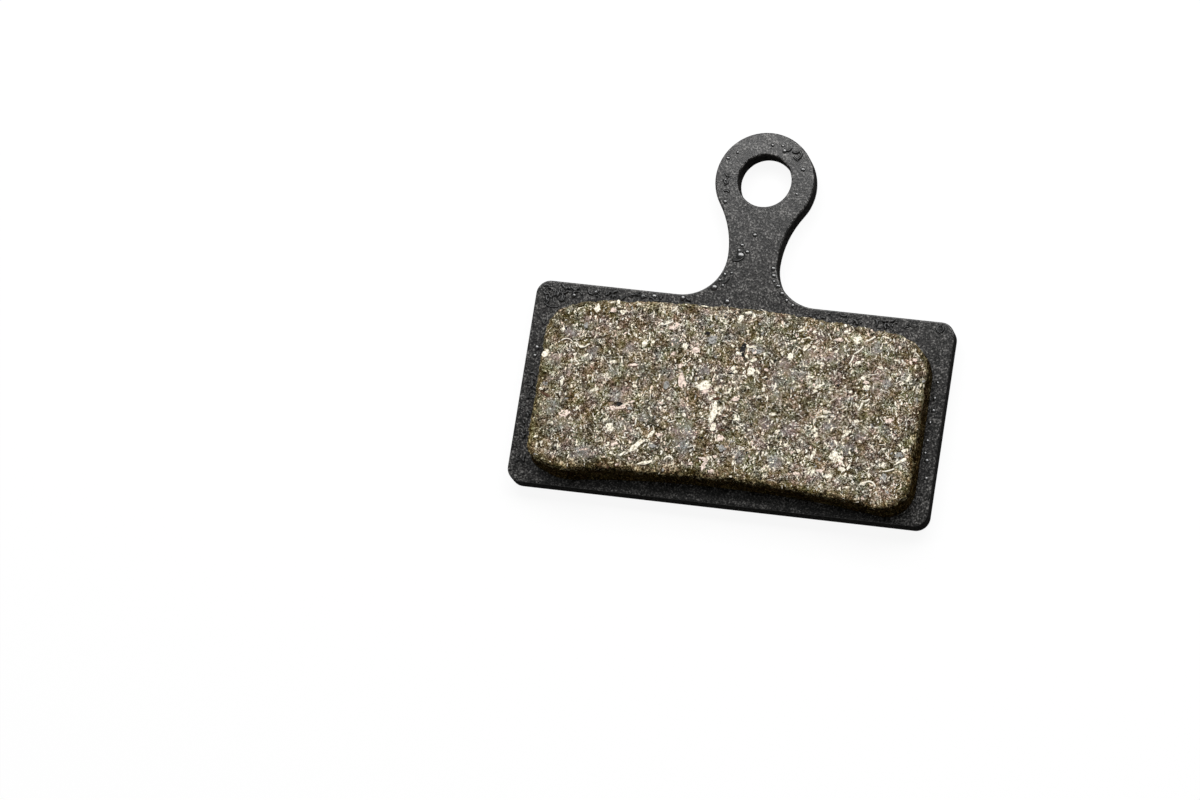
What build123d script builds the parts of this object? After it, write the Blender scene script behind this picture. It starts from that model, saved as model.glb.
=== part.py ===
from build123d import *
import os

# A disc brake pad lying on its back: a stamped steel plate with a hanging tab, and a block of
# friction compound moulded on its front. The origin is the centre of the plate's body on its
# back face, where the piston pushes. +Z points out of the friction face and +Y to the tab.

# Body of the backing plate
plate_width = 28.4
plate_height = 13.9
plate_thickness = 1.6
plate_corner_radius = 0.95

# Tab that hangs on the retaining pin
pin_bore_diameter = 3.6
ring_wall = 1.55
tab_reach = 8.36
neck_width = 3.38
shoulder_radius = 2.95

# Edges that the press tool leaves: nearly sharp at the front, rolled in at the back
front_break = 0.1
die_roll = 0.25

# Friction block, held in from the plate's edges, with its long sides following the rotor
margin_left = 1.35
margin_right = 0.85
margin_top = 0.85
margin_bottom = 1.1
block_thickness = 2.1
block_corner_radius = 2.35
block_edge_radius = 0.3
block_draft = 3.0
rotor_radius = 90.0

# Places that follow from those sizes
plate_side = plate_width / 2
plate_top = plate_height / 2
bore_height = plate_top + tab_reach
ring_radius = pin_bore_diameter / 2 + ring_wall
waist_side = neck_width / 2
waist_height = plate_top + shoulder_radius
block_top = plate_top - margin_top
block_bottom = -plate_top + margin_bottom
block_width = plate_width - margin_left - margin_right
block_centre = (margin_left - margin_right) / 2
inner_radius = rotor_radius - (block_top - block_bottom)

# The neck's flank is one arc, upright at the waist and tangent to the ring
waist_drop = bore_height - waist_height
neck_radius = (waist_drop**2 + waist_side**2 - ring_radius**2) / (2 * (ring_radius - waist_side))
ring_centre = Vector(0, bore_height)
neck_centre = Vector(waist_side + neck_radius, waist_height)
neck_end = ring_centre + (neck_centre - ring_centre).normalized() * ring_radius

os.makedirs("parts", exist_ok=True)

# Backing plate: half of the outline is drawn from the foot to the top of the ring and mirrored
with BuildPart() as backing_plate:
    with BuildSketch() as blank:
        with BuildLine():
            foot = Line((0, -plate_top), (plate_side, -plate_top))
            flank = Line(foot @ 1, (plate_side, plate_top))
            shoulder = Line(flank @ 1, (waist_side + shoulder_radius, plate_top))
            root_arc = TangentArc(shoulder @ 1, (waist_side, waist_height), tangent=shoulder % 1)
            neck_arc = TangentArc(root_arc @ 1, neck_end, tangent=root_arc % 1)
            TangentArc(neck_arc @ 1, (0, bore_height + ring_radius), tangent=neck_arc % 1)
            mirror(about=Plane.YZ)
        make_face()
        corner_columns = blank.vertices().group_by(Axis.X)
        fillet(corner_columns[0] + corner_columns[-1], plate_corner_radius)
    extrude(amount=plate_thickness)
    with Locations((0, bore_height, plate_thickness)):
        Hole(pin_bore_diameter / 2)
    front_face = backing_plate.faces().sort_by(Axis.Z)[-1]
    fillet(front_face.edges(), front_break)
    back_face = backing_plate.faces().sort_by(Axis.Z)[0]
    fillet(back_face.edges(), die_roll)

# Friction block: a piece of the ring that the rotor sweeps, drafted to leave its mould, with a
# rounded rim around the face that meets the rotor
with BuildPart() as friction_block:
    with BuildSketch(Plane.XY.offset(plate_thickness)) as footprint:
        with Locations((block_centre, block_top - rotor_radius)):
            Circle(rotor_radius)
            Circle(inner_radius, mode=Mode.SUBTRACT)
        with Locations((block_centre, block_top)):
            Rectangle(block_width, rotor_radius, align=(Align.CENTER, Align.MAX), mode=Mode.INTERSECT)
        fillet(footprint.vertices(), block_corner_radius)
    extrude(amount=block_thickness, taper=block_draft)
    rubbing_face = friction_block.faces().sort_by(Axis.Z)[-1]
    fillet(rubbing_face.edges(), block_edge_radius)

backing_plate.part.label = "backing_plate"
export_step(backing_plate.part, "parts/backing_plate.step")

friction_block.part.label = "friction_block"
export_step(friction_block.part, "parts/friction_block.step")
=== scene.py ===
import bmesh
import bpy
import math
import random
from mathutils import Matrix, Vector, geometry, noise
from mathutils.bvhtree import BVHTree


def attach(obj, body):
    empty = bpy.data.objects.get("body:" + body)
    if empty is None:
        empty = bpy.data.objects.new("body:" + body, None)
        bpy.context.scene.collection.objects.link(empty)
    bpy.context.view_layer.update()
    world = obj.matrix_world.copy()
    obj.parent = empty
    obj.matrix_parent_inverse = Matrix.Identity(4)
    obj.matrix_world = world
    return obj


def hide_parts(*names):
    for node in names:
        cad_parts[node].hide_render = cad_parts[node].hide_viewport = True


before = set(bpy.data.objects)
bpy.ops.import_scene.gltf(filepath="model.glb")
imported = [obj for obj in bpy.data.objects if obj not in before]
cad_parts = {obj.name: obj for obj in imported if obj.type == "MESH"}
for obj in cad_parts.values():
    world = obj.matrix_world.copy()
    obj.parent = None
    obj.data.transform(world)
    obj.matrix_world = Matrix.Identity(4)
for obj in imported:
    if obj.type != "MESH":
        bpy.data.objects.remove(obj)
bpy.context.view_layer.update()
scene = bpy.context.scene
scene.view_settings.view_transform = "Standard"
mm = 0.001

# The backing plate is stamped from 1.6 mm sheet steel, then sprayed satin black and baked. Its
# solid has the true shape with the press tool's edges, so the plate only gets its finish here:
# satin on the faces, with pale specks that are partly real grain and partly painted glints, and
# thin and dull on the sheared edge, with its colour lifted as painted fill light.
plate_front = 1.6 * mm
backing_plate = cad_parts["backing_plate"]


def feed(material, value, socket):
    """Links an output to a socket, or sets the socket to a number or colour."""
    if isinstance(value, bpy.types.NodeSocket):
        material.node_tree.links.new(value, socket)
    else:
        socket.default_value = value


def add_node(material, kind, **inputs):
    """A shader node of that kind with its sockets fed."""
    node = material.node_tree.nodes.new(kind)
    for name, value in inputs.items():
        feed(material, value, node.inputs[name.replace("_", " ")])
    return node


def ramp_node(material, factor, stops):
    """The colour output of a ramp through the given (position, colour) stops."""
    node = add_node(material, "ShaderNodeValToRGB", Fac=factor)
    ramp = node.color_ramp
    while len(ramp.elements) < len(stops):
        ramp.elements.new(0.5)
    for element, (position, colour) in zip(ramp.elements, stops):
        element.position = position
        element.color = (*colour, 1.0)
    return node.outputs["Color"]


def weigh(material, first, share, second=0.0):
    """The output of first * share + second, each a number or an output."""
    node = material.node_tree.nodes.new("ShaderNodeMath")
    node.operation = "MULTIPLY_ADD"
    for socket, value in zip(node.inputs, (first, share, second)):
        feed(material, value, socket)
    return node.outputs[0]


def new_material(name):
    """A node material, its shader and the object's own coordinates."""
    material = bpy.data.materials.new(name)
    material.use_nodes = True
    shader = material.node_tree.nodes["Principled BSDF"]
    spots = add_node(material, "ShaderNodeTexCoord").outputs["Object"]
    return material, shader, spots


coat, coat_shader, coat_spots = new_material("satin_black_coat")
# Painted glints: the pale specks of this grain stand for glints off the coat's peel as well as its real
# grain.
coat_grain_and_glints = add_node(
    coat, "ShaderNodeTexNoise", Vector=coat_spots, Scale=7400.0, Detail=2.0, Roughness=0.7
)
coat_mottle = add_node(
    coat, "ShaderNodeTexNoise", Vector=coat_spots, Scale=2300.0, Detail=2.0, Roughness=0.6
)
coat_tone = weigh(coat, coat_grain_and_glints.outputs["Fac"], 0.74)
coat_tone = weigh(coat, coat_mottle.outputs["Fac"], 0.26, coat_tone)
coat_grain_and_glint_colour = ramp_node(
    coat,
    coat_tone,
    [
        (0.39, (0.0022, 0.0021, 0.002)),
        (0.46, (0.0123, 0.0119, 0.0113)),
        (0.52, (0.03, 0.029, 0.0278)),
        (0.57, (0.069, 0.0668, 0.0638)),
        (0.63, (0.178, 0.172, 0.165)),
    ],
)
coat_bump = add_node(coat, "ShaderNodeBump", Strength=0.8, Distance=0.000005, Height=coat_tone)
feed(coat, coat_grain_and_glint_colour, coat_shader.inputs["Base Color"])
feed(coat, coat_bump.outputs["Normal"], coat_shader.inputs["Normal"])
coat_shader.inputs["Roughness"].default_value = 0.17
coat_shader.inputs["Specular IOR Level"].default_value = 0.25
edge_coat, edge_shader, edge_spots = new_material("dull_edge_coat_painted_fill")
edge_steepness = 0.4
edge_grain = add_node(edge_coat, "ShaderNodeTexNoise", Vector=edge_spots, Scale=5200.0, Detail=2.0)
# Painted fill light: the edge colour is lifted well above the bare coat's, standing in for light from the
# front.
edge_coat_and_fill_colour = ramp_node(
    edge_coat, edge_grain.outputs["Fac"], [(0.35, (0.018, 0.0175, 0.017)), (0.7, (0.064, 0.062, 0.059))]
)
feed(edge_coat, edge_coat_and_fill_colour, edge_shader.inputs["Base Color"])
edge_shader.inputs["Roughness"].default_value = 0.8
edge_shader.inputs["Specular IOR Level"].default_value = 0.0
backing_plate.data.materials.clear()
backing_plate.data.materials.append(coat)
backing_plate.data.materials.append(edge_coat)
for face in backing_plate.data.polygons:
    face.material_index = int(abs(face.normal.z) < edge_steepness)

# Blisters and runs in the coat: drops and threads of paint that stood proud of the plate when it
# was baked, single on the tab and margins and tangled in the corners, with a glossy skin.
drop_flatness = 0.42
drop_growth = 1.15
coat_drops = [
    (-0.83, 10.73, 0.14), (-0.97, 10.33, 0.13), (-0.83, 10.0, 0.25), (-0.42, 10.3, 0.14),
    (-0.09, 11.51, 0.13), (1.49, 9.36, 0.13), (1.6, 8.87, 0.14), (1.68, 8.48, 0.12),
    (2.0, 8.19, 0.15), (2.34, 7.72, 0.14), (2.72, 7.28, 0.13), (-1.69, 8.61, 0.13),
    (-1.97, 8.2, 0.11), (-2.26, 7.65, 0.19), (-1.7, 7.84, 0.12), (-4.25, 6.7, 0.17),
    (-1.25, 6.78, 0.15), (0.16, 17.8, 0.13), (0.87, 17.83, 0.1), (1.02, 17.49, 0.14),
    (2.45, 16.34, 0.14), (-2.12, 17.06, 0.11), (-2.71, 14.99, 0.1), (2.32, 14.6, 0.09),
    (-11.62, 6.08, 0.17), (-10.15, 6.45, 0.15), (-7.74, 6.45, 0.13), (-13.54, 2.25, 0.15),
    (-13.6, 1.68, 0.14), (13.56, 2.83, 0.12), (13.52, 1.74, 0.13), (13.54, 0.92, 0.12),
    (13.45, 0.08, 0.13), (13.45, -1.15, 0.13), (13.42, -1.99, 0.11), (13.6, -2.48, 0.15),
    (13.75, -3.67, 0.11), (2.29, 14.61, 0.11), (-2.44, 13.59, 0.12), (-2.64, 15.08, 0.12),
    (-2.71, 16.6, 0.12), (-1.26, 8.76, 0.1), (3.18, 6.98, 0.12), (4.46, 6.42, 0.1),
    (-6.95, 6.5, 0.16), (-6.2, 6.6, 0.16),
]
coat_threads = [
    (1.87, 17.0, 0.9, 0.45, 0.09, -35.0), (11.14, 6.55, 0.6, 0.5, 0.055, -50.0),
    (11.55, 6.45, 0.6, 0.5, 0.055, 40.0), (13.2, 6.22, 0.24, 6.0, 0.085, 0.0),
    (9.2, 6.1, 0.4, 1.2, 0.06, 10.0), (9.9, 6.15, 0.35, 1.5, 0.06, 170.0),
    (10.4, 5.95, 0.3, 1.4, 0.055, 30.0), (-13.1, 5.15, 0.9, 1.4, 0.07, -12.0),
    (-0.91, 9.66, 0.6, 1.4, 0.09, 20.0), (-1.5, 8.16, 0.8, 0.7, 0.1, 55.0),
    (13.44, -5.4, 0.18, 5.6, 0.07, 0.0), (2.3, 17.2, 0.3, 1.6, 0.08, 200.0),
    (-2.5, 14.9, 0.22, 2.2, 0.08, 80.0), (-2.55, 15.4, 0.2, 2.0, 0.07, 260.0),
]
thread_fields = [
    (-13.7, -12.2, 5.4, 6.6, 26), (-12.2, -6.0, 6.2, 6.75, 34), (-6.0, -3.2, 6.3, 6.75, 9),
    (3.6, 11.4, 6.25, 6.75, 36), (-13.8, -13.1, -6.0, 4.8, 24),
    (-2.7, -2.2, 14.0, 16.2, 4), (0.9, 2.2, 17.2, 17.9, 5),
]
random.seed(41)


def keep_piece(name, shape, material, smooth=True):
    """The finished mesh as an object that rides with the pad."""
    bmesh.ops.recalc_face_normals(shape, faces=shape.faces)
    mesh = bpy.data.meshes.new(name)
    shape.to_mesh(mesh)
    shape.free()
    mesh.materials.append(material)
    for face in mesh.polygons:
        face.use_smooth = smooth
    piece = bpy.data.objects.new(name, mesh)
    scene.collection.objects.link(piece)
    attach(piece, "root")
    return piece


def bent_strand(bend, arc, thickness):
    """A round strand bent to an arc, with its middle at the origin and running along X there."""
    strand = bmesh.new()
    end = bmesh.ops.create_circle(strand, cap_ends=True, segments=6, radius=thickness)["verts"]
    bmesh.ops.rotate(strand, verts=end, matrix=Matrix.Rotation(math.pi / 2, 3, "X"))
    bmesh.ops.translate(strand, verts=end, vec=(bend, 0.0, 0.0))
    profile = list(strand.verts) + list(strand.edges) + list(strand.faces)
    bmesh.ops.spin(
        strand, geom=profile, cent=(0.0, 0.0, 0.0), axis=(0.0, 0.0, 1.0),
        angle=arc, steps=8, use_merge=False,
    )
    bmesh.ops.rotate(strand, verts=strand.verts, matrix=Matrix.Rotation(-(arc + math.pi) / 2, 3, "Z"))
    bmesh.ops.translate(strand, verts=strand.verts, vec=(0.0, bend, 0.0))
    return strand


def join_in(shape, part):
    """Adds a small finished mesh to the mesh of its piece."""
    bmesh.ops.recalc_face_normals(part, faces=part.faces)
    part.to_mesh(carrier)
    part.free()
    shape.from_mesh(carrier)


carrier = bpy.data.meshes.new("carrier")
coat_side = 14.08 * mm
coat_top = 6.83 * mm
tab_side = 3.0
bore_middle = Vector((0.0, 15.31 * mm))
bore_clear = 1.95 * mm
ring_clear = 3.2 * mm
ring_foot = 12.5
drops = bmesh.new()
for across, up, radius in coat_drops:
    drop = bmesh.new()
    bmesh.ops.create_uvsphere(drop, u_segments=14, v_segments=9, radius=drop_growth * radius * mm)
    swell = (random.uniform(0.85, 1.2), random.uniform(0.85, 1.2), drop_flatness)
    bmesh.ops.scale(drop, verts=drop.verts, vec=swell)
    bmesh.ops.translate(drop, verts=drop.verts, vec=(across * mm, up * mm, plate_front))
    join_in(drops, drop)
wrinkles = bmesh.new()
for left, right, low, high, count in thread_fields:
    for _ in range(count):
        coat_threads.append((
            random.uniform(left, right), random.uniform(low, high), random.uniform(0.14, 0.34),
            random.uniform(0.6, 2.4), random.uniform(0.07, 0.13), random.uniform(0.0, 360.0),
        ))
for across, up, bend, arc, thickness, turn in coat_threads:
    thread = bent_strand(bend * mm, arc, thickness * mm)
    bmesh.ops.rotate(thread, verts=thread.verts, matrix=Matrix.Rotation(math.radians(turn), 3, "Z"))
    bmesh.ops.translate(thread, verts=thread.verts, vec=(across * mm, up * mm, plate_front))
    widest = max(abs(vert.co.x) for vert in thread.verts)
    highest = max(vert.co.y for vert in thread.verts)
    reaches = [(vert.co.xy - bore_middle).length for vert in thread.verts]
    on_plate = widest < coat_side and (highest < coat_top or abs(across) < tab_side)
    on_ring = min(reaches) > bore_clear and (up < ring_foot or max(reaches) < ring_clear)
    if on_plate and on_ring:
        join_in(wrinkles, thread)


def skin_material(name, roughness, gleam):
    """The thick coat of a drop or a wrinkle, darker and glossier than the flat coat."""
    material, shader, spots = new_material(name)
    shade = add_node(material, "ShaderNodeTexNoise", Vector=spots, Scale=6000.0, Detail=2.0)
    colour = ramp_node(
        material, shade.outputs["Fac"], [(0.3, (0.002, 0.002, 0.002)), (0.7, (0.02, 0.0195, 0.019))]
    )
    feed(material, colour, shader.inputs["Base Color"])
    shader.inputs["Roughness"].default_value = roughness
    shader.inputs["Specular IOR Level"].default_value = gleam
    return material


keep_piece("coat_drops", drops, skin_material("drop_skin", 0.2, 1.0))
keep_piece("coat_wrinkles", wrinkles, skin_material("wrinkle_skin", 0.3, 0.45))

# The friction block is resin, metal chips and fibres, pressed hot onto the plate and ground flat.
# Chips, pits and cracks show in its face, its rim is rounded and nicked, and one corner is worn off.
# Its hollows, cracks and pits carry painted shade, its walls are darkened partly with painted
# shade, and its pale flecks are partly painted glints.
rotor_radius = 90.0 * mm
block_left = -12.85 * mm
block_right = 13.2 * mm
block_top = 6.1 * mm
block_bottom = -5.85 * mm
block_face = 3.7 * mm
corner_radius = 2.35 * mm
rim_radius = 0.32 * mm
draft_slope = math.tan(math.radians(3.0))
cells_across = 392
cells_up = 180
wall_rows = 10
rim_share = 0.05
block_half = (block_right - block_left) / 2
block_middle = (block_right + block_left) / 2
wall_spread = (block_face - rim_radius - plate_front) * draft_slope
rotor_centre = block_top - rotor_radius
face_half = block_half - wall_spread
arc_half = (block_top - block_bottom) / 2 - wall_spread
round_off = corner_radius - wall_spread


def held(value):
    """A number held between 0 and 1."""
    return min(1.0, max(0.0, value))


def spread(step, reach):
    """Grid place from the middle out, closer together where the rim turns down."""
    flat = reach - rim_radius
    flat_share = 1.0 - rim_share * block_half / reach
    side = abs(step)
    if side < flat_share:
        return math.copysign(flat * side / flat_share, step)
    turn = (side - flat_share) / (1.0 - flat_share) * math.pi / 2
    return math.copysign(flat + rim_radius * math.sin(turn), step)


block = bmesh.new()
bmesh.ops.create_grid(block, x_segments=cells_across, y_segments=cells_up, size=1.0)
edge_gap = block.verts.layers.float.new("edge_gap")
for vert in block.verts:
    across = spread(vert.co.x, face_half)
    along = spread(vert.co.y, arc_half)
    side_gap = face_half - abs(across)
    arc_gap = arc_half - abs(along)
    gap = min(side_gap, arc_gap)
    if side_gap < round_off and arc_gap < round_off:
        out_x = 1.0 - side_gap / round_off
        out_y = 1.0 - arc_gap / round_off
        pull_x = out_x * math.sqrt(1.0 - out_y**2 / 2)
        pull_y = out_y * math.sqrt(1.0 - out_x**2 / 2)
        across = math.copysign(face_half - round_off * (1.0 - pull_x), across)
        along = math.copysign(arc_half - round_off * (1.0 - pull_y), along)
        gap = round_off * (1.0 - min(1.0, math.hypot(pull_x, pull_y)))
    drop = 0.0
    if gap < rim_radius:
        drop = rim_radius - math.sqrt(max(0.0, rim_radius**2 - (rim_radius - gap)**2))
    ring = rotor_radius - wall_spread - arc_half + along
    vert[edge_gap] = gap
    vert.co = (
        block_middle + across,
        rotor_centre + math.sqrt(ring**2 - across**2),
        block_face - drop,
    )
rim_edges = [edge for edge in block.edges if edge.is_boundary]
for row in range(wall_rows):
    wall = bmesh.ops.extrude_edge_only(block, edges=rim_edges)["geom"]
    rim_edges = [item for item in wall if isinstance(item, bmesh.types.BMEdge) and item.is_boundary]
    lowered = [item for item in wall if isinstance(item, bmesh.types.BMVert)]
    for vert in lowered:
        step_down = (vert.co.z - plate_front) / (wall_rows - row)
        outward = Vector((vert.co.x - block_middle, vert.co.y - (block_top + block_bottom) / 2, 0.0))
        vert.co += outward.normalized() * (step_down * draft_slope)
        vert.co.z -= step_down
        vert[edge_gap] -= step_down
bmesh.ops.holes_fill(block, edges=rim_edges, sides=0)
bmesh.ops.recalc_face_normals(block, faces=block.faces)
block.normal_update()

chip_size = 0.2 * mm
fine_size = 0.085 * mm
patch_size = 1.0 * mm
chip_step = 0.022 * mm
chip_tilt = 0.45
chip_bend = 1.6
chip_key = 31.7
height_key = Vector((5.3, 1.7, 9.1))
seam_depth = 0.022 * mm
seam_width = 0.2
fine_step = 0.02 * mm
lump_step = 0.015 * mm
sunk = 0.045 * mm
hollow_depth = 0.045 * mm
nick_size = 0.8 * mm
nick_depth = 0.3 * mm
nick_reach = 0.9 * mm
nick_offset = Vector((8.0, 2.0, 5.0))
worn_depth = 0.2 * mm
worn_reach = 1.3 * mm
worn_end = -5.1 * mm
worn_step = 0.4 * mm
worn_corner = Vector((-11.6, -6.3)) * mm
corner_inward = Vector((0.45, 0.9))
corner_depth = 0.38 * mm
corner_reach = 1.7 * mm
foot_radius = rotor_radius - (block_top - block_bottom)
crack_half = 0.075 * mm
crack_floor = 0.09 * mm
crack_shade = 1.7
crack_bend = 0.25 * mm
crack_wander = 0.06 * mm
cracks = [
    [(-10.95, 2.65), (-10.4, 2.55), (-9.45, 2.8), (-8.05, 3.2)], [(-6.65, 1.5), (-6.05, 1.45)],
    [(-10.55, 3.5), (-10.15, 3.55)], [(-5.15, -2.5), (-4.45, -2.6), (-3.3, -2.9)],
    [(3.4, -3.05), (3.9, -2.9)], [(3.75, -5.35), (4.25, -5.4), (4.75, -5.35)],
    [(4.8, -4.75), (5.3, -4.6), (5.6, -4.4)], [(7.8, -1.9), (8.65, -1.55)],
    [(-10.95, -3.9), (-10.35, -3.6)], [(6.1, 0.95), (6.4, 0.9)], [(4.55, 3.5), (4.7, 3.25)],
]
calm_patches = [
    (-11.8, 1.1, 0.6), (-9.2, 1.9, 0.5), (-9.75, 3.85, 0.5), (-11.0, 3.1, 0.6), (-6.9, 2.25, 0.5),
    (-7.7, 0.65, 0.55), (-11.5, -2.1, 0.6), (-10.5, -3.1, 0.6), (-7.2, -0.95, 0.6), (-6.4, -2.9, 0.6),
    (-9.1, -5.0, 0.7), (-4.15, 0.75, 0.7), (-4.0, 3.1, 0.5), (-1.4, 3.4, 0.5), (1.75, 3.25, 0.5),
    (-1.6, 1.5, 0.45), (0.35, 4.7, 0.6), (-2.5, -3.1, 1.2), (-2.3, -2.25, 0.6), (3.0, -1.65, 0.7),
    (-5.1, -2.1, 0.5), (1.6, -4.05, 0.7), (3.75, 2.1, 0.85), (5.1, 3.2, 0.5), (6.8, 3.1, 0.6),
    (7.4, 3.95, 0.5), (3.35, 0.35, 0.6), (9.45, 4.2, 0.6), (10.2, 1.75, 0.85), (4.65, -1.8, 0.7),
    (8.55, -2.65, 0.6), (4.05, -4.2, 0.7), (7.1, -1.3, 0.6), (9.4, -1.75, 0.5),
]
patch_ragged = 0.4
patch_ragged_size = 0.3 * mm
patch_sharpness = 2.0
patch_flatness = 0.6
noise.seed_set(7)


def crack_share(place):
    """How deep a place lies in the cracks of the ground face, from 0 to 1."""
    spot = place.xy + noise.noise_vector(place / crack_bend).xy * crack_wander
    nearest = crack_half
    for crack in cracks:
        for start, end in zip(crack, crack[1:]):
            first = Vector(start) * mm
            last = Vector(end) * mm
            foot_point, along = geometry.intersect_point_line(spot, first, last)
            if along < 0.0:
                foot_point = first
            if along > 1.0:
                foot_point = last
            nearest = min(nearest, (spot - foot_point.xy).length)
    return 1.0 - nearest / crack_half


def calm_share(place):
    """How far a place lies inside the smooth grey patches of the ground face, from 0 to 1."""
    deepest = 0.0
    for across, up, radius in calm_patches:
        gap = math.hypot(place.x / mm - across, place.y / mm - up)
        deepest = max(deepest, 1.0 - gap / radius)
    ragged = patch_ragged * noise.noise(place / patch_ragged_size)
    return held(patch_sharpness * (deepest + ragged)) if deepest > 0.0 else 0.0


def relief(place, patch):
    """How far the ground surface stands from its middle at a place, from tilted chips and grit."""
    spot = place / chip_size + noise.noise_vector(place / patch_size) * chip_bend
    gaps, centres = noise.voronoi(spot)
    key = centres[0] * chip_key
    lean = noise.cell_vector(key)
    off = spot - centres[0]
    chip = (noise.cell(key + height_key) - 0.5) * chip_step
    tilt = ((lean.x - 0.5) * off.x + (lean.y - 0.5) * off.y) * chip_size * chip_tilt
    seam = -seam_depth * max(0.0, 1.0 - (gaps[1] - gaps[0]) / seam_width)
    fine = noise.fractal(place / fine_size, 0.8, 2.0, 2) * fine_step
    lump = noise.noise(place / patch_size) * lump_step
    return (chip + tilt + seam + fine) * (1.0 - patch_flatness * patch) + lump


hollow_shade_layer = block.verts.layers.float.new("hollow")
rim_layer = block.verts.layers.float.new("rim")
wall_layer = block.verts.layers.float.new("wall")
patch_layer = block.verts.layers.float.new("patch")
border_width = 0.71 * mm
border_taper = 0.29 * mm
border_start = 1.2
border_ragged = 0.3
border_ragged_size = 0.35 * mm
border_middle = 0.82
border_slope = 0.4
border_least = 0.4
wall_depth = 0.9 * mm
foot_band = 0.05 * mm
moves = []
for vert in block.verts:
    ragged = noise.noise(vert.co / border_ragged_size) * border_ragged * mm
    reach = border_width - border_taper * (vert.co.x - block_middle) / block_half
    border = held(border_start - (vert[edge_gap] + ragged) / reach)
    border_weight = max(border_least, border_middle - border_slope * vert.co.y / block_top)
    vert[rim_layer] = border * min(1.0, border_weight)
    vert[wall_layer] = held((block_face - vert.co.z) / wall_depth)
    patch = calm_share(vert.co)
    crack = crack_share(vert.co)
    vert[patch_layer] = patch
    if vert.co.z < plate_front + foot_band:
        moves.append(0.0)
        continue
    height = relief(vert.co, patch)
    # Painted shade: the hollows of the relief and the cracks are marked here to darken the face's colour.
    vert[hollow_shade_layer] = held(-height / hollow_depth) + crack_shade * crack
    at_rim = held(1.0 - vert[edge_gap] / nick_reach)
    at_rim *= min(1.0, (vert.co.z - plate_front) / nick_reach)
    nick = nick_depth * at_rim * max(0.0, noise.noise(vert.co / nick_size + nick_offset))
    moves.append(min(height - sunk, 0.0) - nick - crack_floor * crack)
for vert, move in zip(block.verts, moves):
    vert.co += vert.normal * move
    foot = rotor_centre + math.sqrt(foot_radius**2 - (vert.co.x - block_middle)**2)
    worn = held((worn_end - vert.co.x) / worn_step)
    worn *= held(1.0 - (vert.co.y - foot) / worn_reach)
    lifted = min(1.0, (vert.co.z - plate_front) / nick_reach)
    vert.co.y += worn_depth * worn * lifted
    cut = corner_depth * max(0.0, 1.0 - (vert.co.xy - worn_corner).length / corner_reach)
    vert.co.x += corner_inward.x * cut
    vert.co.y += corner_inward.y * cut
block.normal_update()
ground_face = BVHTree.FromBMesh(block)

warp_reach = 0.00032
chip_width = 0.06 * mm
strokes = [(20.0, 0.15, 0.045), (78.0, 0.13, 0.046), (125.0, 0.16, 0.043), (160.0, 0.13, 0.043)]
fleck_kinds = [(100.0, 0.24, 0.08), (35.0, 0.11, 0.075)]
least_stroke = 0.66
least_pit = 0.95
least_fleck = 0.956
tone_start = -0.5
chip_weight = 0.67
dust_weight = 0.53
clump_weight = 0.24
zone_weight = 0.5
hollow_shade_weight = -0.21
calm_weight = -0.45
calm_tone = 0.255
no_share = (0.0, 0.0, 0.0)
full_share = (1.0, 1.0, 1.0)
green_tint = (0.92, 1.052, 1.06, 1.0)
brown_tint = (1.085, 0.945, 0.94, 1.0)
cool_tint = (0.96, 0.99, 1.06, 1.0)
pink_tint = (1.15, 0.95, 0.9, 1.0)
pit_shade_tint = (0.014, 0.011, 0.006, 1.0)
border_tint = (0.54, 0.48, 0.31, 1.0)
wall_skin_and_shade_tint = (0.38, 0.335, 0.265, 1.0)
compound, compound_shader, compound_spots = new_material("friction_compound")


def mix_colours(material, factor, first, second, blend="MIX"):
    """The output of a colour mix of two colours or outputs."""
    node = material.node_tree.nodes.new("ShaderNodeMix")
    node.data_type = "RGBA"
    node.blend_type = blend
    for socket, value in zip((node.inputs[0], node.inputs[6], node.inputs[7]), (factor, first, second)):
        feed(material, value, socket)
    return node.outputs[2]


def named_value(material, name):
    """The output of a value stored on the mesh."""
    node = add_node(material, "ShaderNodeAttribute")
    node.attribute_name = name
    return node.outputs["Fac"]


def chip_layer(material, spots, turn, length, width):
    """Chance colours of flat chips of one size, which all lie along one direction."""
    laid = add_node(
        material, "ShaderNodeMapping", Vector=spots, Rotation=(0.0, 0.0, turn), Scale=(length, width, width)
    )
    laid.vector_type = "TEXTURE"
    cells = add_node(material, "ShaderNodeTexVoronoi", Vector=laid.outputs[0], Scale=1.0)
    return cells.outputs["Color"]


def chosen_chips(material, chips, least):
    """A mask of the chips whose chance number is over the least one."""
    chance = add_node(material, "ShaderNodeSeparateColor", Color=chips)
    return ramp_node(material, chance.outputs[0], [(least, no_share), (least + 0.01, full_share)])


wander = add_node(compound, "ShaderNodeTexNoise", Vector=compound_spots, Scale=3600.0, Detail=2.0)
warped = add_node(compound, "ShaderNodeVectorMath")
warped.operation = "MULTIPLY_ADD"
feed(compound, wander.outputs["Color"], warped.inputs[0])
warped.inputs[1].default_value = (warp_reach, warp_reach, warp_reach)
feed(compound, compound_spots, warped.inputs[2])
warped_spots = warped.outputs[0]
chips = chip_layer(compound, warped_spots, 0.0, chip_width, chip_width)
for turn, length, width in strokes:
    over = chip_layer(compound, warped_spots, math.radians(turn), length * mm, width * mm)
    chips = mix_colours(compound, chosen_chips(compound, over, least_stroke), chips, over)
chip_chance = add_node(compound, "ShaderNodeSeparateColor", Color=chips)
zones = add_node(
    compound, "ShaderNodeTexNoise", Vector=compound_spots, Scale=620.0, Detail=3.0, Roughness=0.6
)
clumps = add_node(
    compound, "ShaderNodeTexNoise", Vector=compound_spots, Scale=1900.0, Detail=2.0, Roughness=0.6
)
dust = add_node(compound, "ShaderNodeTexNoise", Vector=compound_spots, Scale=9500.0, Detail=1.0)
patch_share = named_value(compound, "patch")
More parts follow.
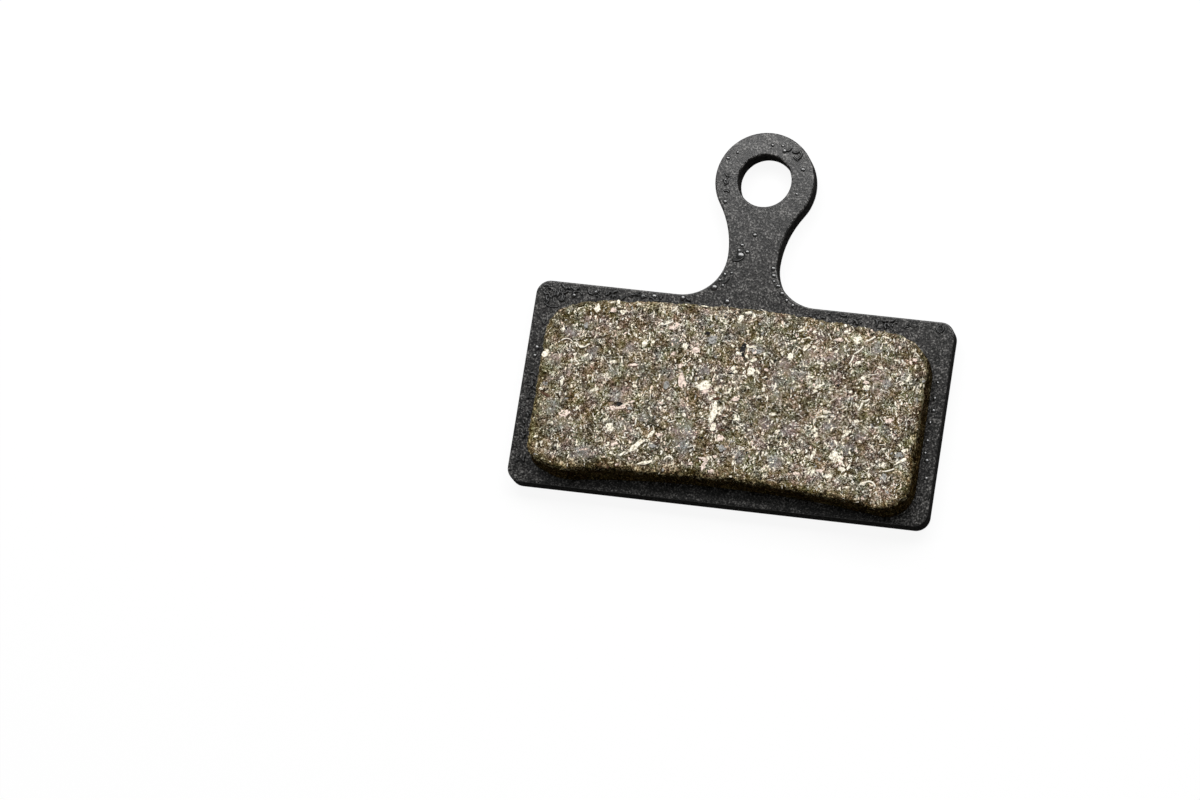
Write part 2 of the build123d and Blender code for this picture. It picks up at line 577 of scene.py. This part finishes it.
tone = weigh(compound, chip_chance.outputs[1], chip_weight, tone_start)
tone = weigh(compound, dust.outputs["Fac"], dust_weight, tone)
tone = weigh(compound, clumps.outputs["Fac"], clump_weight, tone)
tone = weigh(compound, zones.outputs["Fac"], zone_weight, tone)
# Painted shade: the tone drops where the hollow value marks hollows and cracks.
tone = weigh(compound, named_value(compound, "hollow"), hollow_shade_weight, tone)
calm = weigh(compound, tone, calm_weight, calm_tone)
tone = weigh(compound, patch_share, calm, tone)
olive_tone = ramp_node(
    compound, tone,
    [
        (0.1, (0.0149, 0.011, 0.0024)),
        (0.22, (0.0336, 0.0238, 0.0042)),
        (0.36, (0.096, 0.074, 0.0225)),
        (0.5, (0.186, 0.157, 0.0775)),
        (0.64, (0.346, 0.304, 0.186)),
        (0.78, (0.725, 0.66, 0.485)),
        (0.88, (1.0, 0.955, 0.75)),
    ],
)
grey_tone = ramp_node(
    compound, tone,
    [
        (0.1, (0.0144, 0.0106, 0.008)),
        (0.22, (0.0324, 0.023, 0.0166)),
        (0.36, (0.093, 0.0715, 0.056)),
        (0.5, (0.182, 0.1535, 0.132)),
        (0.64, (0.34, 0.2985, 0.267)),
        (0.78, (0.714, 0.65, 0.6)),
        (0.88, (1.0, 0.942, 0.873)),
    ],
)
hues = add_node(
    compound, "ShaderNodeTexNoise", Vector=compound_spots, Scale=1150.0, Detail=2.0, Roughness=0.55
)
hue_chance = add_node(compound, "ShaderNodeSeparateColor", Color=hues.outputs["Color"])
grey_place = weigh(compound, chip_chance.outputs[2], 0.45, -1.02)
grey_place = weigh(compound, hue_chance.outputs[0], 2.5, grey_place)
grey_share = weigh(compound, patch_share, 0.25, grey_place)
grey_share = ramp_node(compound, grey_share, [(0.0, no_share), (1.0, full_share)])
face_colour = mix_colours(compound, grey_share, olive_tone, grey_tone)
green_colour = mix_colours(compound, 1.0, face_colour, green_tint, "MULTIPLY")
brown_colour = mix_colours(compound, 1.0, face_colour, brown_tint, "MULTIPLY")
brown_share = weigh(compound, hue_chance.outputs[1], 3.0, -1.0)
brown_share = ramp_node(compound, brown_share, [(0.0, no_share), (1.0, full_share)])
face_colour = mix_colours(compound, brown_share, green_colour, brown_colour)
cool_colour = mix_colours(compound, 1.0, face_colour, cool_tint, "MULTIPLY")
face_colour = mix_colours(compound, patch_share, face_colour, cool_colour)
pink_share = ramp_node(compound, chip_chance.outputs[2], [(0.88, no_share), (0.9, full_share)])
pink_colour = mix_colours(compound, 1.0, face_colour, pink_tint, "MULTIPLY")
face_colour = mix_colours(compound, pink_share, face_colour, pink_colour)
# Painted shade: small dark spots stand for the shade inside the face's pits.
pits = chip_layer(compound, warped_spots, math.radians(45.0), 0.15 * mm, 0.07 * mm)
face_colour = mix_colours(compound, chosen_chips(compound, pits, least_pit), face_colour, pit_shade_tint)
# The pale flecks are partly pale chips in the compound and partly painted glints of its metal chips.
for turn, length, width in fleck_kinds:
    flecks = chip_layer(compound, warped_spots, math.radians(turn), length * mm, width * mm)
    fleck_chance = add_node(compound, "ShaderNodeSeparateColor", Color=flecks)
    fleck_and_glint_colour = ramp_node(
        compound, fleck_chance.outputs[2],
        [
            (0.0, (0.78, 0.6, 0.5)),
            (0.2, (0.9, 0.81, 0.64)),
            (0.6, (0.97, 0.92, 0.8)),
            (1.0, (0.62, 0.6, 0.55)),
        ],
    )
    fleck_and_glint_share = chosen_chips(compound, flecks, least_fleck)
    face_colour = mix_colours(compound, fleck_and_glint_share, face_colour, fleck_and_glint_colour)
border_colour = mix_colours(compound, 1.0, face_colour, border_tint, "MULTIPLY")
face_colour = mix_colours(compound, named_value(compound, "rim"), face_colour, border_colour)
# The walls are darkened partly for the resin-rich moulded skin and partly as painted shade.
wall_share = ramp_node(compound, named_value(compound, "wall"), [(0.28, no_share), (0.55, full_share)])
wall_skin_and_shade_colour = mix_colours(compound, 1.0, face_colour, wall_skin_and_shade_tint, "MULTIPLY")
face_colour = mix_colours(compound, wall_share, face_colour, wall_skin_and_shade_colour)
feed(compound, face_colour, compound_shader.inputs["Base Color"])
compound_shader.inputs["Roughness"].default_value = 0.75
compound_shader.inputs["Specular IOR Level"].default_value = 0.0
dust_bump = add_node(
    compound, "ShaderNodeBump", Strength=0.7, Distance=0.00005, Height=dust.outputs["Fac"]
)
feed(compound, dust_bump.outputs["Normal"], compound_shader.inputs["Normal"])
friction_piece = keep_piece("friction_compound_block", block, compound)
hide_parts("friction_block")

# Flakes of metal and mineral in cream, pink, grey, black and rust lie in the ground face, cut
# through or bent flat by the grinding wheel: some large ones, and many small chips between them.
flake_depth = 0.13 * mm
flake_growth = 1.2
chip_depth = 0.05 * mm
seat_depth = 0.22 * mm
right_crowding = 0.75
small_crowding = 2.2
chip_free = 0.8
downward = Vector((0.0, 0.0, -1.0))
straight_up = Vector((0.0, 0.0, 1.0))


def seat(across, up):
    """The place on the ground face at a point of the pad and a direction near its normal."""
    place, facing, _, _ = ground_face.ray_cast(Vector((across, up, 2 * block_face)), downward)
    if place is None or place.z < block_face - seat_depth:
        return None, None
    return place, (facing + straight_up).normalized()


def add_flake(shape, place, facing, length, width, depth, turn, corners):
    """An uneven flat flake with broken facets on top, turned onto the ground face."""
    flake = bmesh.new()
    outline = bmesh.ops.create_circle(flake, cap_ends=True, segments=corners, radius=1.0)["verts"]
    for vert in outline:
        vert.co *= random.uniform(0.58, 1.2)
    lifted = bmesh.ops.extrude_face_region(flake, geom=list(flake.faces))["geom"]
    crown = [item for item in lifted if isinstance(item, bmesh.types.BMVert)]
    crown_face = [item for item in lifted if isinstance(item, bmesh.types.BMFace)]
    bmesh.ops.translate(flake, verts=crown, vec=(0.0, 0.0, 1.0))
    bmesh.ops.scale(flake, verts=crown, vec=(0.9, 0.9, 1.0))
    crown += bmesh.ops.poke(flake, faces=crown_face)["verts"]
    for vert in crown:
        vert.co.z -= random.uniform(0.0, 0.42)
    bmesh.ops.scale(flake, verts=flake.verts, vec=(length, width, depth))
    lie = straight_up.rotation_difference(facing).to_matrix() @ Matrix.Rotation(turn, 3, "Z")
    bmesh.ops.rotate(flake, verts=flake.verts, matrix=lie)
    bmesh.ops.translate(flake, verts=flake.verts, vec=place)
    highest = max(vert.co.z for vert in flake.verts)
    if highest > block_face:
        bmesh.ops.translate(flake, verts=flake.verts, vec=(0.0, 0.0, block_face - highest))
    join_in(shape, flake)


def place_flakes(shape, flakes):
    """Large flakes bedded level with the ground face, given in millimetres and degrees."""
    for across, up, length, width, turn in flakes:
        place = Vector((across * mm, up * mm, block_face - flake_depth))
        facing = Vector((random.uniform(-0.05, 0.05), random.uniform(-0.05, 0.05), 1.0)).normalized()
        add_flake(
            shape, place, facing, flake_growth * length * mm, flake_growth * width * mm,
            flake_depth, math.radians(turn), 15,
        )


def scatter_place():
    """A chance place on the ground face."""
    across = block_left + (block_right - block_left) * random.random()**right_crowding
    sag = rotor_radius - math.sqrt(rotor_radius**2 - (across - block_middle)**2)
    return across, random.uniform(block_bottom, block_top) - sag


def scatter_flakes(shape, count, smallest, largest):
    """Chips of mixed sizes all over the ground face."""
    for _ in range(count):
        place, facing = seat(*scatter_place())
        size = smallest + (largest - smallest) * random.random()**small_crowding
        width = size * random.uniform(0.25, 0.8)
        turn = random.uniform(0.0, math.tau)
        if place is not None and random.random() > chip_free * calm_share(place):
            add_flake(shape, place, facing, size, width, chip_depth, turn, 7)


def chip_material(name, dark, light):
    """A chip's finish, whose colour wanders between two tones within a chip."""
    material, shader, spots = new_material(name)
    wear = add_node(
        material, "ShaderNodeTexNoise", Vector=spots, Scale=6500.0, Detail=2.0, Roughness=0.7
    )
    colour = ramp_node(material, wear.outputs["Fac"], [(0.37, dark), (0.54, light)])
    feed(material, colour, shader.inputs["Base Color"])
    shader.inputs["Roughness"].default_value = 0.5
    shader.inputs["Specular IOR Level"].default_value = 0.15
    return material


def keep_flakes(colour, placed, count, smallest, largest, dark, light):
    """The flakes of one colour: the large ones at their places and small chips by chance."""
    flakes = bmesh.new()
    place_flakes(flakes, placed)
    scatter_flakes(flakes, count, smallest * mm, largest * mm)
    finish = chip_material(colour + "_flake", dark, light)
    keep_piece(colour + "_flakes", flakes, finish, smooth=False)


cream_flakes = [
    (-9.4, 4.85, 0.3, 0.2, 100), (-8.45, 5.4, 0.2, 0.06, 20), (-7.65, 4.78, 0.18, 0.13, 30),
    (-11.5, 3.2, 0.16, 0.12, 20), (-12.42, 1.45, 0.24, 0.2, 60), (-7.8, 1.35, 0.3, 0.1, 10),
    (-8.7, -0.65, 0.34, 0.1, 28), (-11.0, -0.35, 0.26, 0.11, 80), (-6.1, -0.1, 0.17, 0.13, 0),
    (-12.3, -0.95, 0.16, 0.1, 0), (-7.35, -3.05, 0.4, 0.25, -38), (-7.6, -2.5, 0.25, 0.07, 60),
    (-5.35, -4.1, 0.6, 0.18, 45), (-4.5, -3.25, 0.3, 0.13, 50), (-6.2, -4.75, 0.26, 0.06, 40),
    (-4.55, -5.15, 0.48, 0.12, 18), (-12.0, -4.8, 0.23, 0.07, 85), (-5.9, 2.85, 0.25, 0.17, 70),
    (-3.15, 2.95, 0.22, 0.18, 80), (0.5, 2.85, 0.26, 0.14, 10), (1.3, 3.4, 0.3, 0.07, 10),
    (1.5, 1.75, 0.32, 0.27, 60), (1.95, 1.8, 0.26, 0.06, -50), (0.3, 1.85, 0.2, 0.14, 80),
    (-1.45, 0.4, 0.55, 0.3, 25), (-0.6, 0.3, 0.22, 0.14, 10), (-0.9, -0.4, 0.18, 0.1, 40),
    (0.2, 0.25, 0.3, 0.1, 60), (-0.6, -1.2, 0.66, 0.28, 90), (-0.45, -2.35, 0.3, 0.18, 75),
    (1.25, -4.55, 0.2, 0.07, 80), (3.35, -1.0, 0.25, 0.1, 0), (3.85, -2.1, 0.2, 0.09, 40),
    (0.25, 5.2, 0.24, 0.18, 70), (-0.5, 5.6, 0.25, 0.07, 0), (0.75, 5.65, 0.25, 0.1, 10),
    (3.95, 3.0, 0.26, 0.2, 80), (4.9, 3.75, 0.34, 0.13, 45), (5.35, 1.75, 0.17, 0.1, 40),
    (8.2, 4.6, 0.28, 0.24, 90), (7.9, -3.35, 0.4, 0.3, -20), (8.35, -3.7, 0.3, 0.14, -40),
    (6.45, -3.35, 0.4, 0.14, 75), (8.5, -4.15, 0.26, 0.12, 0), (8.9, -3.95, 0.24, 0.08, 70),
    (7.65, -4.7, 0.36, 0.12, 10), (11.1, -3.55, 0.26, 0.17, 20), (12.35, -2.45, 0.2, 0.1, 10),
    (8.95, -0.85, 0.17, 0.14, 0), (8.45, -1.75, 0.36, 0.09, 45), (6.15, 1.25, 0.26, 0.11, 30),
    (9.3, 1.5, 0.22, 0.18, 0), (6.35, -4.5, 0.26, 0.09, 80), (11.6, 2.0, 0.2, 0.08, 30),
    (11.95, 2.4, 0.3, 0.07, 75), (12.3, -3.15, 0.46, 0.1, 35), (-5.45, -2.95, 0.1, 0.07, 20),
    (-5.7, -3.3, 0.12, 0.06, 30), (-6.25, -3.65, 0.12, 0.08, 20), (-7.3, -4.3, 0.16, 0.06, 25),
    (-6.85, -4.45, 0.15, 0.07, 20), (-6.95, -4.75, 0.12, 0.1, 0), (-6.2, -4.8, 0.2, 0.05, 40),
    (-11.3, -3.2, 0.12, 0.06, 10), (-7.75, -2.6, 0.12, 0.08, 0), (-5.3, 3.0, 0.12, 0.1, 0),
    (-1.1, 1.55, 0.2, 0.05, 60), (0.45, 1.6, 0.14, 0.1, 0), (1.55, 2.5, 0.2, 0.1, 30),
    (-0.2, 5.1, 0.12, 0.05, 20), (0.15, 4.95, 0.12, 0.05, -20), (-2.25, 5.8, 0.3, 0.05, -5),
    (-0.85, 4.3, 0.15, 0.08, 0), (4.4, 4.85, 0.2, 0.07, 20), (5.3, 4.85, 0.15, 0.1, 30),
    (4.0, 4.1, 0.2, 0.06, 15), (4.4, 3.7, 0.2, 0.06, -20), (2.8, 2.55, 0.2, 0.06, -50),
    (5.05, 2.5, 0.25, 0.06, -5), (5.6, 1.8, 0.14, 0.08, 40), (5.95, 0.9, 0.15, 0.12, 0),
    (7.0, 1.1, 0.15, 0.07, 0), (9.0, 2.15, 0.15, 0.16, 0), (10.05, 5.0, 0.3, 0.06, -10),
    (8.5, 3.1, 0.2, 0.1, 20), (8.55, 0.85, 0.2, 0.06, 30), (6.55, -0.8, 0.3, 0.06, 20),
    (6.3, -1.7, 0.15, 0.12, 60), (6.45, -2.05, 0.14, 0.14, 0), (4.6, -2.95, 0.2, 0.12, 0),
    (5.45, -3.25, 0.12, 0.12, 0), (6.1, -3.55, 0.15, 0.08, 0), (6.6, -4.55, 0.2, 0.12, 70),
    (8.0, -0.65, 0.16, 0.06, 60), (10.0, -4.95, 0.2, 0.1, 0), (11.0, -2.5, 0.2, 0.06, 30),
    (-3.7, -0.7, 0.14, 0.12, 0), (-4.15, -2.25, 0.16, 0.06, 30), (-0.15, -1.0, 0.16, 0.14, 0),
    (0.95, -1.6, 0.16, 0.1, 30), (2.4, 0.15, 0.3, 0.04, 25), (1.95, -2.2, 0.12, 0.08, 0),
    (1.75, -3.55, 0.15, 0.05, 15),
]
keep_flakes("cream", cream_flakes, 260, 0.05, 0.2, (0.42, 0.36, 0.26), (1.0, 0.945, 0.8))

pink_flakes = [
    (-8.3, 4.85, 0.22, 0.17, 0), (-3.9, 4.35, 0.16, 0.14, 0), (-6.4, 1.3, 0.3, 0.1, 10),
    (-10.5, -2.5, 0.36, 0.24, 10), (-7.3, -1.75, 0.26, 0.15, 0), (-6.7, -1.6, 0.3, 0.14, 30),
    (-2.35, 2.75, 0.22, 0.18, 0), (-3.0, 0.6, 0.5, 0.24, 110), (-1.35, 0.02, 0.22, 0.14, 10),
    (0.7, -0.25, 0.32, 0.15, 10), (0.15, -2.95, 0.26, 0.22, 0), (-0.7, -4.5, 0.35, 0.12, -15),
    (-0.65, -4.95, 0.3, 0.13, 80), (-8.8, -4.75, 0.3, 0.08, 10), (7.05, 4.5, 0.26, 0.12, 0),
    (9.2, 1.85, 0.22, 0.12, 0), (11.1, -0.55, 0.26, 0.15, 20), (5.6, -4.8, 0.26, 0.12, -10),
    (7.0, -4.4, 0.26, 0.12, 0), (12.2, 3.7, 0.16, 0.12, 0), (-6.8, -4.15, 0.25, 0.14, 20),
    (-4.15, 4.1, 0.3, 0.12, 10), (-3.85, 2.35, 0.2, 0.1, 40), (-3.25, 1.6, 0.18, 0.14, 0),
    (-6.1, -1.2, 0.25, 0.06, 25), (-1.55, -4.9, 0.14, 0.1, 0), (-0.15, -5.25, 0.2, 0.12, 0),
    (-3.95, -3.2, 0.2, 0.12, 0), (-4.15, -1.05, 0.14, 0.08, 0), (2.5, 1.95, 0.14, 0.1, 0),
    (5.8, 1.3, 0.12, 0.1, 0),
]
keep_flakes("pink", pink_flakes, 60, 0.06, 0.2, (0.34, 0.24, 0.19), (0.9, 0.75, 0.66))

grey_flakes = [
    (0.35, -3.65, 0.26, 0.2, 0), (-4.25, -4.0, 0.26, 0.15, 0), (11.3, -4.35, 0.3, 0.22, 80),
    (-1.4, 3.6, 0.36, 0.26, 20), (-4.0, 0.2, 0.3, 0.18, 60), (-12.1, -0.6, 0.2, 0.14, 0),
    (1.65, 3.1, 0.36, 0.18, 0), (-10.0, 3.6, 0.2, 0.14, 80), (12.1, -2.8, 0.3, 0.2, 0),
]
keep_flakes("grey", grey_flakes, 60, 0.08, 0.2, (0.07, 0.068, 0.062), (0.36, 0.355, 0.335))

black_flakes = [
    (0.75, 3.25, 0.55, 0.22, 82), (-1.75, 4.0, 0.22, 0.1, 10), (0.2, 1.45, 0.2, 0.06, 0),
    (-6.9, -1.4, 0.2, 0.11, 10), (2.6, 1.35, 0.13, 0.08, 30),
]
keep_flakes("black", black_flakes, 70, 0.05, 0.13, (0.002, 0.002, 0.002), (0.008, 0.0075, 0.007))

rust_flakes = [
    (-11.9, -1.35, 0.45, 0.08, -20), (-11.75, -1.5, 0.3, 0.06, -22), (-0.5, -0.35, 0.28, 0.1, 10),
    (12.25, 3.5, 0.16, 0.08, 0), (0.2, -2.4, 0.2, 0.08, 0), (-6.3, 1.2, 0.2, 0.06, 5),
]
keep_flakes("rust", rust_flakes, 60, 0.05, 0.14, (0.03, 0.014, 0.008), (0.11, 0.055, 0.032))

# Pale fibres and curls of swarf lie pressed into the ground face, and finer hairs stand out of
# the moulded edge where the grinding wheel tore it.
placed_fibres = [
    (-11.1, 2.6, 0.5, 0.9, 0.04, 180), (-10.25, 2.2, 0.8, 0.45, 0.045, -45),
    (-9.8, 2.2, 0.8, 0.65, 0.045, 30), (-10.4, 1.35, 0.35, 0.75, 0.05, -75),
    (-4.2, 5.35, 0.5, 0.55, 0.055, 50), (-4.6, 4.3, 0.9, 0.95, 0.05, 20),
    (-3.2, -2.2, 1.0, 0.5, 0.04, 25), (-3.1, -4.6, 0.3, 0.8, 0.06, 190),
    (9.1, 4.75, 1.5, 0.7, 0.065, 35), (8.45, 3.9, 1.5, 0.8, 0.055, 45),
    (8.05, 3.25, 1.5, 0.7, 0.06, 72), (9.6, 2.4, 2.0, 0.7, 0.03, 15),
    (9.4, 0.6, 0.6, 0.5, 0.07, 25), (9.1, 0.15, 0.8, 0.6, 0.07, 70),
    (10.5, -4.75, 0.42, 1.0, 0.07, 170), (11.55, -3.9, 2.0, 0.8, 0.05, 20),
    (6.0, 2.75, 0.5, 0.5, 0.055, 0), (3.25, 0.9, 1.0, 0.5, 0.055, 85), (1.4, -2.0, 0.8, 0.5, 0.04, 30),
]
fibre_count = 420
fibre_free = 0.6
fibre_least = 0.14
fibre_range = 0.5
short_crowding = 2.5
most_curl = 3.6
hair_count = 520
hair_squareness = 1.35


def add_fibre(shape, place, facing, bend, length, thickness, turn):
    """A thin bent strand that lies half sunk at its place."""
    strand = bent_strand(bend, min(most_curl, length / bend), thickness)
    lie = straight_up.rotation_difference(facing).to_matrix() @ Matrix.Rotation(turn, 3, "Z")
    bmesh.ops.rotate(strand, verts=strand.verts, matrix=lie)
    bmesh.ops.translate(strand, verts=strand.verts, vec=place)
    highest = max(vert.co.z for vert in strand.verts)
    if highest > block_face:
        bmesh.ops.translate(strand, verts=strand.verts, vec=(0.0, 0.0, block_face - highest))
    join_in(shape, strand)


fibres = bmesh.new()
for across, up, bend, length, thickness, turn in placed_fibres:
    place = Vector((across * mm, up * mm, block_face))
    add_fibre(
        fibres, place, straight_up, bend * mm, length * mm, thickness * mm, math.radians(turn)
    )
for _ in range(fibre_count):
    place, facing = seat(*scatter_place())
    length = (fibre_least + fibre_range * random.random()**short_crowding) * mm
    bend = random.uniform(0.4, 2.0) * mm
    thickness = random.uniform(0.014, 0.028) * mm
    turn = random.uniform(0.0, math.tau)
    if place is not None and random.random() > fibre_free * calm_share(place):
        add_fibre(fibres, place, facing, bend, length, thickness, turn)
pale_fibre = chip_material("pale_fibre", (0.62, 0.55, 0.43), (0.96, 0.91, 0.8))
keep_piece("pale_fibres", fibres, pale_fibre)

hairs = bmesh.new()
for _ in range(hair_count):
    way = random.uniform(0.0, math.tau)
    sideways = max(-1.0, min(1.0, hair_squareness * math.cos(way)))
    upward = max(-1.0, min(1.0, hair_squareness * math.sin(way)))
    across = block_middle + face_half * sideways
    ring = rotor_radius - wall_spread - arc_half + arc_half * upward
    up = rotor_centre + math.sqrt(ring**2 - (across - block_middle)**2)
    side = Vector((across, up, block_face - random.uniform(0.15, 0.6) * mm))
    place, facing, _, _ = ground_face.find_nearest(side)
    length = random.uniform(0.12, 0.34) * mm
    thickness = random.uniform(0.014, 0.026) * mm
    turn = random.uniform(0.0, math.tau)
    add_fibre(hairs, place, facing, random.uniform(0.15, 0.5) * mm, length, thickness, turn)
edge_hair = chip_material("edge_hair", (0.07, 0.058, 0.026), (0.26, 0.22, 0.12))
keep_piece("edge_hairs", hairs, edge_hair)

# The pad lies on its back on a plain white table, under one large soft light from above and a
# weak even fill.
floor_half = 3.0
table_glow_share = 0.91
floor_mesh = bmesh.new()
bmesh.ops.create_grid(floor_mesh, x_segments=1, y_segments=1, size=floor_half)
floor_data = bpy.data.meshes.new("floor")
floor_mesh.to_mesh(floor_data)
floor_mesh.free()
floor = bpy.data.objects.new("floor", floor_data)
scene.collection.objects.link(floor)
table = bpy.data.materials.new("white_table")
table.use_nodes = True
table.node_tree.nodes.clear()
table_out = add_node(table, "ShaderNodeOutputMaterial")
rays = add_node(table, "ShaderNodeLightPath").outputs
seen = weigh(table, rays["Is Glossy Ray"], 1.0, rays["Is Camera Ray"])
seen = weigh(table, rays["Is Transmission Ray"], 1.0, seen)
table_matte = add_node(table, "ShaderNodeBsdfDiffuse", Color=(0.95, 0.95, 0.95, 1.0))
table_glow = add_node(table, "ShaderNodeEmission", Color=(1.0, 1.0, 1.0, 1.0), Strength=1.0)
table_bounce = add_node(table, "ShaderNodeBsdfDiffuse", Color=(0.08, 0.08, 0.08, 1.0))
table_seen = add_node(table, "ShaderNodeMixShader", Fac=table_glow_share)
feed(table, table_matte.outputs[0], table_seen.inputs[1])
feed(table, table_glow.outputs[0], table_seen.inputs[2])
table_mix = add_node(table, "ShaderNodeMixShader", Fac=seen)
feed(table, table_bounce.outputs[0], table_mix.inputs[1])
feed(table, table_seen.outputs[0], table_mix.inputs[2])
feed(table, table_mix.outputs[0], table_out.inputs["Surface"])
floor_data.materials.append(table)

world = bpy.data.worlds.new("studio")
scene.world = world
world.use_nodes = True
sky = world.node_tree.nodes["Background"]
sky.inputs["Color"].default_value = (1.0, 1.0, 1.0, 1.0)
sky.inputs["Strength"].default_value = 0.2

lamp_aim = Vector((0.0, 4.0, 2.0)) * mm
lamp_place = Vector((0.0, 123.0, 193.0)) * mm
lamp = bpy.data.lights.new("softbox", "AREA")
lamp.shape = "RECTANGLE"
lamp.size = 0.26
lamp.size_y = 0.11
lamp.energy = 0.75
softbox = bpy.data.objects.new("softbox", lamp)
scene.collection.objects.link(softbox)
softbox.location = lamp_place
softbox.rotation_euler = (lamp_place - lamp_aim).to_track_quat("Z", "Y").to_euler()

# The camera stands where the photograph was taken from: close above the pad, a little to its
# right and below it, and turned so that the tab leans to the right.
camera_place = Vector((80.643, -92.504, 397.873)) * mm
camera_aim = Vector((-9.067, -0.474, 0.023)) * mm
camera_lean = math.radians(9.18)
picture_width = 1200
focal_pixels = 6276.0
camera_data = bpy.data.cameras.new("camera")
camera_data.sensor_width = 36.0
camera_data.lens = focal_pixels / picture_width * camera_data.sensor_width
camera = bpy.data.objects.new("camera", camera_data)
scene.collection.objects.link(camera)
backward = (camera_place - camera_aim).normalized()
tab_way = Vector((0.0, 1.0, 0.0))
upright = (tab_way - backward * tab_way.dot(backward)).normalized()
upright = Matrix.Rotation(camera_lean, 3, backward) @ upright
rightward = upright.cross(backward)
camera.matrix_world = Matrix((rightward, upright, backward)).transposed().to_4x4()
camera.location = camera_place
scene.camera = camera
